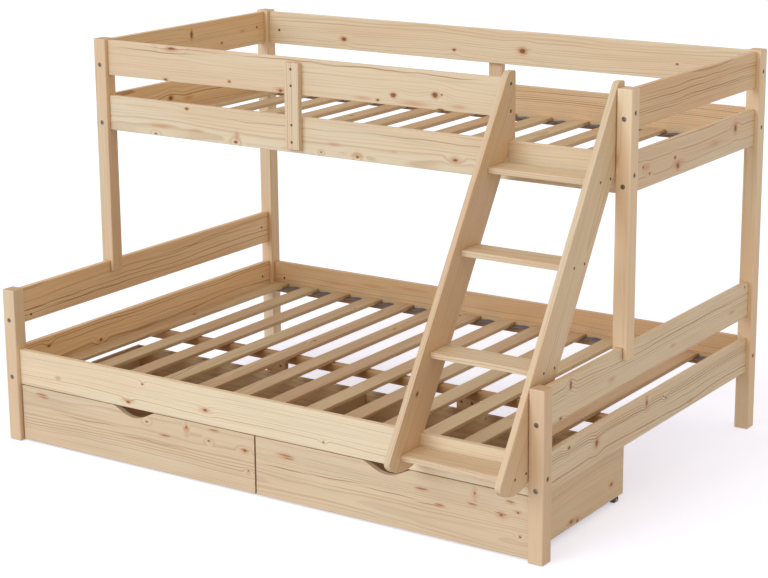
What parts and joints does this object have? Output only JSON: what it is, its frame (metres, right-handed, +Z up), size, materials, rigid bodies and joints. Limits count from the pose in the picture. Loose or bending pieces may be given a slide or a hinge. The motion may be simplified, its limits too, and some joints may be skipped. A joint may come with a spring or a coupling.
{
  "type": "bunk bed",
  "caption": "Solid wood bunk bed: a wide lower bed with two rolling drawers under it, a narrower upper bed with guard boards, and a slanting ladder.",
  "frame": {"origin": "on the floor, under the middle of the bed's overall box", "axes": "+X along the bed, from the end away from the ladder to the ladder end; +Y from the ladder and drawer side to the back; +Z up"},
  "size_m": [2.074, 1.6298, 1.3239],
  "materials": {
    "pine": "clear satin lacquer",
    "rough_pine": "planed, unlacquered",
    "slat_wood": "planed, unlacquered",
    "castor": "smooth moulded"
  },
  "bodies": {
    "frame": {"post_front_left": "pine", "post_front_right": "pine", "post_back_left": "pine", "post_back_right": "pine", "post_upper_left": "pine", "post_upper_right": "pine", "lower_front_rail": "pine", "lower_back_rail": "pine", "lower_end_board_left": "pine", "lower_end_board_right": "pine", "lower_end_top_board_left": "pine", "lower_end_top_board_right": "pine", "upper_front_rail": "pine", "upper_back_rail": "pine", "guard_front": "pine", "guard_back": "pine", "upper_end_board_left": "pine", "upper_end_board_right": "pine", "upper_end_top_board_left": "pine", "upper_end_top_board_right": "pine", "guard_support_front": "pine", "guard_support_back": "pine", "lower_cleat_front": "rough_pine", "lower_cleat_back": "rough_pine", "upper_cleat_front": "rough_pine", "upper_cleat_back": "rough_pine", "centre_beam": "rough_pine", "beam_leg_left": "rough_pine", "beam_leg_right": "rough_pine", "lower_slat_roll": "slat_wood", "upper_slat_roll": "slat_wood", "ladder_stile_left": "pine", "ladder_stile_right": "pine", "ladder_tread_1": "pine", "ladder_tread_2": "pine", "ladder_tread_3": "pine", "ladder_tread_4": "pine"},
    "drawer_left": {"drawer_left_front": "pine", "drawer_left_side_left": "pine", "drawer_left_side_right": "pine", "drawer_left_back": "pine", "drawer_left_bottom": "rough_pine"},
    "drawer_right": {"drawer_right_front": "pine", "drawer_right_side_left": "pine", "drawer_right_side_right": "pine", "drawer_right_back": "pine", "drawer_right_bottom": "rough_pine"},
    "left_wheel_front_left": {"drawer_left_wheel_front_left": "castor"},
    "left_wheel_front_right": {"drawer_left_wheel_front_right": "castor"},
    "left_wheel_back_left": {"drawer_left_wheel_back_left": "castor"},
    "left_wheel_back_right": {"drawer_left_wheel_back_right": "castor"},
    "right_wheel_front_left": {"drawer_right_wheel_front_left": "castor"},
    "right_wheel_front_right": {"drawer_right_wheel_front_right": "castor"},
    "right_wheel_back_left": {"drawer_right_wheel_back_left": "castor"},
    "right_wheel_back_right": {"drawer_right_wheel_back_right": "castor"}
  },
  "joints": [
    {"name": "drawer_left_slide", "type": "slide", "parent": "frame", "child": "drawer_left", "axis": [0, -1, 0], "range_m": [0, 0.5]},
    {"name": "drawer_right_slide", "type": "slide", "parent": "frame", "child": "drawer_right", "axis": [0, -1, 0], "range_m": [0, 0.5]},
    {"name": "left_wheel_front_left_roll", "type": "hinge", "parent": "drawer_left", "child": "left_wheel_front_left", "pos_m": [-0.954, -0.58709, 0.02], "axis": [1, 0, 0], "continuous": true},
    {"name": "left_wheel_front_right_roll", "type": "hinge", "parent": "drawer_left", "child": "left_wheel_front_right", "pos_m": [-0.0315, -0.58709, 0.02], "axis": [1, 0, 0], "continuous": true},
    {"name": "left_wheel_back_left_roll", "type": "hinge", "parent": "drawer_left", "child": "left_wheel_back_left", "pos_m": [-0.954, -0.09802, 0.02], "axis": [1, 0, 0], "continuous": true},
    {"name": "left_wheel_back_right_roll", "type": "hinge", "parent": "drawer_left", "child": "left_wheel_back_right", "pos_m": [-0.0315, -0.09802, 0.02], "axis": [1, 0, 0], "continuous": true},
    {"name": "right_wheel_front_left_roll", "type": "hinge", "parent": "drawer_right", "child": "right_wheel_front_left", "pos_m": [0.0315, -0.58709, 0.02], "axis": [1, 0, 0], "continuous": true},
    {"name": "right_wheel_front_right_roll", "type": "hinge", "parent": "drawer_right", "child": "right_wheel_front_right", "pos_m": [0.954, -0.58709, 0.02], "axis": [1, 0, 0], "continuous": true},
    {"name": "right_wheel_back_left_roll", "type": "hinge", "parent": "drawer_right", "child": "right_wheel_back_left", "pos_m": [0.0315, -0.09802, 0.02], "axis": [1, 0, 0], "continuous": true},
    {"name": "right_wheel_back_right_roll", "type": "hinge", "parent": "drawer_right", "child": "right_wheel_back_right", "pos_m": [0.954, -0.09802, 0.02], "axis": [1, 0, 0], "continuous": true}
  ],
  "couplings": [
    {"joint": "left_wheel_front_left_roll", "follows": "drawer_left_slide", "rad_per_m": 50},
    {"joint": "left_wheel_front_right_roll", "follows": "drawer_left_slide", "rad_per_m": 50},
    {"joint": "left_wheel_back_left_roll", "follows": "drawer_left_slide", "rad_per_m": 50},
    {"joint": "left_wheel_back_right_roll", "follows": "drawer_left_slide", "rad_per_m": 50},
    {"joint": "right_wheel_front_left_roll", "follows": "drawer_right_slide", "rad_per_m": 50},
    {"joint": "right_wheel_front_right_roll", "follows": "drawer_right_slide", "rad_per_m": 50},
    {"joint": "right_wheel_back_left_roll", "follows": "drawer_right_slide", "rad_per_m": 50},
    {"joint": "right_wheel_back_right_roll", "follows": "drawer_right_slide", "rad_per_m": 50}
  ]
}
